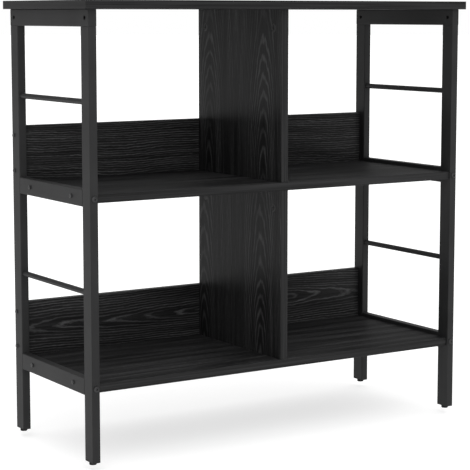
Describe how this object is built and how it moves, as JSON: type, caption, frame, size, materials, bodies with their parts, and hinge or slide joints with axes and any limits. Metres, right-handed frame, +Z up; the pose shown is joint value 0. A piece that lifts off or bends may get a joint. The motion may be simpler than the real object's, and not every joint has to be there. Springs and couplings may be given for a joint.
{
  "type": "open bookcase",
  "caption": "Open bookcase with two steel tube side frames, fixed black oak boards, a central divider, low back panels and levelling feet.",
  "frame": {"origin": "on the floor, under the middle of the top board", "axes": "+X to the right seen from the front, +Y to the back, +Z up"},
  "size_m": [0.82, 0.33, 0.8],
  "materials": {
    "black_oak_board": "black oak grain foil, satin, grain lengthways",
    "black_oak_edge_band": "black wood-grain edge banding, satin",
    "black_powder_coat": "fine black powder coat, matt",
    "plain_steel": "plain steel, hidden",
    "zinc_plated_steel": "zinc plated",
    "black_oxide_steel": "black oxide, slightly oily sheen",
    "black_zinc_cam": "black plated zinc casting",
    "beech_dowel": "plain beech, fluted, hidden",
    "black_plastic": "moulded, fine matt texture",
    "black_foot_plastic": "moulded, matt"
  },
  "bodies": {
    "bookcase": {"top_board": "black_oak_board", "mid_shelf": "black_oak_board", "bottom_shelf": "black_oak_board", "upper_divider": "black_oak_board", "lower_divider": "black_oak_board", "upper_back_panel": "black_oak_board", "lower_back_panel": "black_oak_board", "top_board_edge_bands": "black_oak_edge_band", "mid_shelf_edge_bands": "black_oak_edge_band", "bottom_shelf_edge_bands": "black_oak_edge_band", "upper_divider_edge_bands": "black_oak_edge_band", "lower_divider_edge_bands": "black_oak_edge_band", "upper_back_panel_edge_band": "black_oak_edge_band", "lower_back_panel_edge_band": "black_oak_edge_band", "front_left_leg": "black_powder_coat", "rear_left_leg": "black_powder_coat", "front_right_leg": "black_powder_coat", "rear_right_leg": "black_powder_coat", "left_top_rail": "black_powder_coat", "left_mid_rail": "black_powder_coat", "left_bottom_rail": "black_powder_coat", "left_upper_rod": "black_powder_coat", "left_lower_rod": "black_powder_coat", "right_top_rail": "black_powder_coat", "right_mid_rail": "black_powder_coat", "right_bottom_rail": "black_powder_coat", "right_upper_rod": "black_powder_coat", "right_lower_rod": "black_powder_coat", "leg_top_spigots": "plain_steel", "rail_end_blocks": "plain_steel", "foot_thread_inserts": "zinc_plated_steel", "top_rail_cross_pins": "black_oxide_steel", "leg_bolts": "black_oxide_steel", "shelf_screws": "black_oxide_steel", "back_panel_screws": "black_oxide_steel", "top_board_screws": "black_oxide_steel", "divider_cam_locks": "black_zinc_cam", "divider_cam_bolts": "zinc_plated_steel", "divider_base_screws": "black_oxide_steel", "divider_dowels": "beech_dowel", "leg_foot_plugs": "black_plastic", "top_rail_end_caps": "black_plastic"},
    "front_left_pad": {"front_left_foot_pad": "black_foot_plastic"},
    "front_left_stud": {"front_left_foot_stud": "zinc_plated_steel"},
    "rear_left_pad": {"rear_left_foot_pad": "black_foot_plastic"},
    "rear_left_stud": {"rear_left_foot_stud": "zinc_plated_steel"},
    "front_right_pad": {"front_right_foot_pad": "black_foot_plastic"},
    "front_right_stud": {"front_right_foot_stud": "zinc_plated_steel"},
    "rear_right_pad": {"rear_right_foot_pad": "black_foot_plastic"},
    "rear_right_stud": {"rear_right_foot_stud": "zinc_plated_steel"}
  },
  "joints": [
    {"name": "front_left_foot_height", "type": "slide", "parent": "bookcase", "child": "front_left_pad", "axis": [0, 0, -1], "range_m": [0, 0.01]},
    {"name": "front_left_foot_screw", "type": "hinge", "parent": "front_left_pad", "child": "front_left_stud", "pos_m": [-0.3925, -0.14, 0], "axis": [0, 0, -1], "range_deg": [0, 3601]},
    {"name": "rear_left_foot_height", "type": "slide", "parent": "bookcase", "child": "rear_left_pad", "axis": [0, 0, -1], "range_m": [0, 0.01]},
    {"name": "rear_left_foot_screw", "type": "hinge", "parent": "rear_left_pad", "child": "rear_left_stud", "pos_m": [-0.3925, 0.14, 0], "axis": [0, 0, -1], "range_deg": [0, 3601]},
    {"name": "front_right_foot_height", "type": "slide", "parent": "bookcase", "child": "front_right_pad", "axis": [0, 0, -1], "range_m": [0, 0.01]},
    {"name": "front_right_foot_screw", "type": "hinge", "parent": "front_right_pad", "child": "front_right_stud", "pos_m": [0.3925, -0.14, 0], "axis": [0, 0, -1], "range_deg": [0, 3601]},
    {"name": "rear_right_foot_height", "type": "slide", "parent": "bookcase", "child": "rear_right_pad", "axis": [0, 0, -1], "range_m": [0, 0.01]},
    {"name": "rear_right_foot_screw", "type": "hinge", "parent": "rear_right_pad", "child": "rear_right_stud", "pos_m": [0.3925, 0.14, 0], "axis": [0, 0, -1], "range_deg": [0, 3601]}
  ],
  "couplings": [
    {"joint": "front_left_foot_screw", "follows": "front_left_foot_height", "rad_per_m": 6283.2},
    {"joint": "rear_left_foot_screw", "follows": "rear_left_foot_height", "rad_per_m": 6283.2},
    {"joint": "front_right_foot_screw", "follows": "front_right_foot_height", "rad_per_m": 6283.2},
    {"joint": "rear_right_foot_screw", "follows": "rear_right_foot_height", "rad_per_m": 6283.2}
  ]
}
